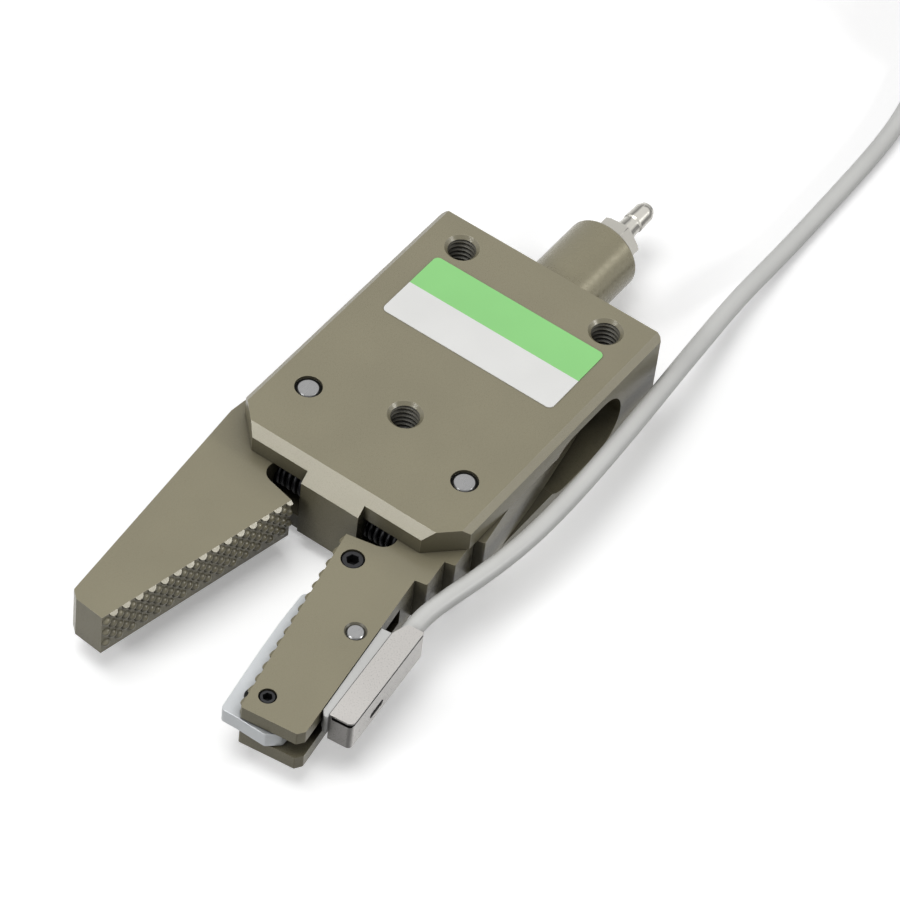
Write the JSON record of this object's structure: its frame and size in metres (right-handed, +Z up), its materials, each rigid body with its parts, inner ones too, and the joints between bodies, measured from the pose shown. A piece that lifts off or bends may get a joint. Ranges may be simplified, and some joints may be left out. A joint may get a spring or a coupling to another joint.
{
  "type": "two finger gripper",
  "caption": "Angular two finger air gripper with pipped jaws, a sensing lever and proximity sensor on one jaw, a coned plunger and a hose barb.",
  "frame": {"origin": "centre of the body's bottom face, midway along the body's plates", "axes": "+Z up through the plates, -Y towards the jaws' tips, +X towards the jaw that carries the sensor"},
  "size_m": [0.0794, 0.2518, 0.0189],
  "materials": {
    "anodised": "satin, hard anodised olive",
    "barrel_anodised": "satin, hard anodised olive",
    "bronze": "sintered",
    "label_print": "printed film",
    "gasket_plastic": "smooth",
    "nickel_plate": "bright nickel plate",
    "ground_steel": "ground",
    "turned_aluminium": "turned",
    "seal_rubber": "smooth",
    "black_steel": "black oxide",
    "spring_wire": "drawn wire",
    "lever_white": "bright plated",
    "sensor_white": "smooth",
    "sensor_dark": "moulded",
    "nickel_sheet": "nickel plated sheet",
    "cable_sheath": "extruded",
    "tie_plastic": "moulded",
    "wire_insulation": "extruded"
  },
  "bodies": {
    "base": {"body": "anodised", "label": "label_print", "cylinder_barrel": "barrel_anodised", "rod_bush": "bronze", "fitting_gasket": "gasket_plastic", "barb_fitting": "nickel_plate", "left_pivot_pin": "ground_steel", "right_pivot_pin": "ground_steel", "left_jaw_spring": "black_steel", "right_jaw_spring": "black_steel", "sensor_cable": "cable_sheath", "cable_coil": "cable_sheath", "cable_tie": "tie_plastic", "cable_wires": "wire_insulation"},
    "left_jaw_body": {"left_jaw": "anodised", "left_cam_pin": "ground_steel"},
    "right_jaw_body": {"right_jaw": "anodised", "right_cam_pin": "ground_steel", "lever_pin": "ground_steel", "lever_stop_screw": "black_steel", "spring_clamp_screw": "black_steel", "lever_spring": "spring_wire", "sensor_pad": "sensor_white", "sensor_core": "sensor_dark", "sensor_housing": "nickel_sheet", "sensor_cable_lead": "cable_sheath"},
    "lever_body": {"sensing_lever": "lever_white"},
    "plunger_body": {"plunger": "ground_steel", "piston": "turned_aluminium", "piston_seal": "seal_rubber"}
  },
  "joints": [
    {"name": "left_jaw_hinge", "type": "hinge", "parent": "base", "child": "left_jaw_body", "pos_m": [-0.016, -0.0172, 0.0094], "axis": [0, 0, 1], "range_deg": [0, 12], "stiffness_Nm_per_rad": 0.3, "springref_deg": -8.59, "deforming": ["left_jaw_spring"]},
    {"name": "right_jaw_hinge", "type": "hinge", "parent": "base", "child": "right_jaw_body", "pos_m": [0.016, -0.0172, 0.0094], "axis": [0, 0, 1], "range_deg": [-12, 0], "stiffness_Nm_per_rad": 0.3, "springref_deg": 8.59, "deforming": ["right_jaw_spring"]},
    {"name": "plunger_slide", "type": "slide", "parent": "base", "child": "plunger_body", "axis": [0, -1, 0], "range_m": [0, 0.0056]},
    {"name": "lever_hinge", "type": "hinge", "parent": "right_jaw_body", "child": "lever_body", "pos_m": [0.01887, -0.05043, 0.0094], "axis": [0, 0, 1], "range_deg": [0, 8.5], "stiffness_Nm_per_rad": 0.02, "springref_deg": -5.73, "deforming": ["lever_spring"]}
  ],
  "couplings": [
    {"joint": "right_jaw_hinge", "follows": "left_jaw_hinge", "ratio": -1},
    {"joint": "plunger_slide", "follows": "left_jaw_hinge", "m_per_rad": 0.02578}
  ]
}
